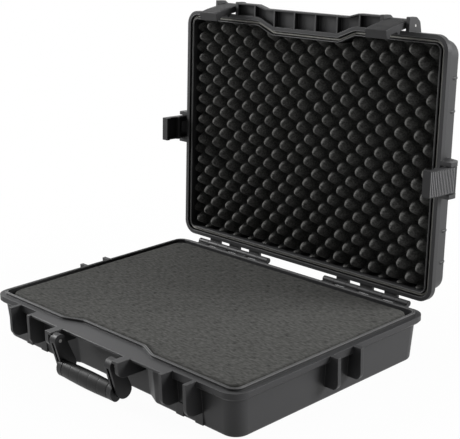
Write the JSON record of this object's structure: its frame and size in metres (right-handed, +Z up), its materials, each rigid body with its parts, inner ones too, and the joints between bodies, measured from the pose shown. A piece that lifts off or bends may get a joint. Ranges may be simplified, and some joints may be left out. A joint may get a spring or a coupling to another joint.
{
  "type": "waterproof tool case",
  "caption": "Flat waterproof hard case standing open, with hinged lid, draw latches, folding grip handle, a foam block in the base and egg-crate foam in the lid.",
  "frame": {"origin": "on the floor under the middle of the base's foam opening", "axes": "+X to the right along the front, +Y back to the hinge, +Z up"},
  "size_m": [0.576, 0.5013, 0.4893],
  "materials": {
    "case_plastic": "matte",
    "latch_plastic": "satin",
    "handle_plastic": "satin",
    "grip_rubber": "satin",
    "gasket_rubber": "matte",
    "foam": "matte",
    "pin_steel": "satin"
  },
  "bodies": {
    "base": {"base_shell": "case_plastic", "base_foam_pad": "foam", "base_foam_block": "foam", "hinge_pin_left": "pin_steel", "hinge_pin_right": "pin_steel", "handle_pin_left": "pin_steel", "handle_pin_right": "pin_steel"},
    "lid": {"lid_shell": "case_plastic", "lid_gasket": "gasket_rubber", "lid_foam": "foam", "latch_pin_front_left": "pin_steel", "latch_pin_front_right": "pin_steel", "latch_pin_side_left": "pin_steel", "latch_pin_side_right": "pin_steel"},
    "handle": {"handle_frame": "handle_plastic", "handle_grip": "grip_rubber"},
    "yoke_front_left": {"latch_yoke_front_left": "latch_plastic"},
    "lever_front_left": {"latch_lever_front_left": "latch_plastic"},
    "yoke_front_right": {"latch_yoke_front_right": "latch_plastic"},
    "lever_front_right": {"latch_lever_front_right": "latch_plastic"},
    "yoke_side_left": {"latch_yoke_side_left": "latch_plastic"},
    "lever_side_left": {"latch_lever_side_left": "latch_plastic"},
    "yoke_side_right": {"latch_yoke_side_right": "latch_plastic"},
    "lever_side_right": {"latch_lever_side_right": "latch_plastic"}
  },
  "joints": [
    {"name": "lid_hinge", "type": "hinge", "parent": "base", "child": "lid", "pos_m": [0, 0.2044, 0.07], "axis": [1, 0, 0], "range_deg": [0, 93.26]},
    {"name": "handle_pivot", "type": "hinge", "parent": "base", "child": "handle", "pos_m": [0, -0.224, 0.0578], "axis": [-1, 0, 0], "range_deg": [-15, 100]},
    {"name": "yoke_front_left_pivot", "type": "hinge", "parent": "lid", "child": "yoke_front_left", "pos_m": [-0.174, 0.24154, 0.47625], "axis": [1, 0, 0], "range_deg": [-12.1, 0]},
    {"name": "lever_front_left_pivot", "type": "hinge", "parent": "yoke_front_left", "child": "lever_front_left", "pos_m": [-0.174, 0.24154, 0.47625], "axis": [1, 0, 0], "range_deg": [-110, 9]},
    {"name": "yoke_front_right_pivot", "type": "hinge", "parent": "lid", "child": "yoke_front_right", "pos_m": [0.174, 0.24154, 0.47625], "axis": [1, 0, 0], "range_deg": [-12.1, 0]},
    {"name": "lever_front_right_pivot", "type": "hinge", "parent": "yoke_front_right", "child": "lever_front_right", "pos_m": [0.174, 0.24154, 0.47625], "axis": [1, 0, 0], "range_deg": [-110, 9]},
    {"name": "yoke_side_left_pivot", "type": "hinge", "parent": "lid", "child": "yoke_side_left", "pos_m": [-0.2778, 0.22956, 0.26579], "axis": [0, 0.0568, 0.9984], "range_deg": [-20, 0]},
    {"name": "lever_side_left_pivot", "type": "hinge", "parent": "yoke_side_left", "child": "lever_side_left", "pos_m": [-0.2778, 0.22956, 0.26579], "axis": [0, 0.0568, 0.9984], "range_deg": [-110, 9]},
    {"name": "yoke_side_right_pivot", "type": "hinge", "parent": "lid", "child": "yoke_side_right", "pos_m": [0.2778, 0.22956, 0.26579], "axis": [0, -0.0568, -0.9984], "range_deg": [-20, 0]},
    {"name": "lever_side_right_pivot", "type": "hinge", "parent": "yoke_side_right", "child": "lever_side_right", "pos_m": [0.2778, 0.22956, 0.26579], "axis": [0, -0.0568, -0.9984], "range_deg": [-110, 9]}
  ],
  "couplings": [
    {"joint": "yoke_front_left_pivot", "follows": "lid_hinge", "ratio": -0.12868},
    {"joint": "yoke_front_right_pivot", "follows": "lid_hinge", "ratio": -0.12868}
  ]
}
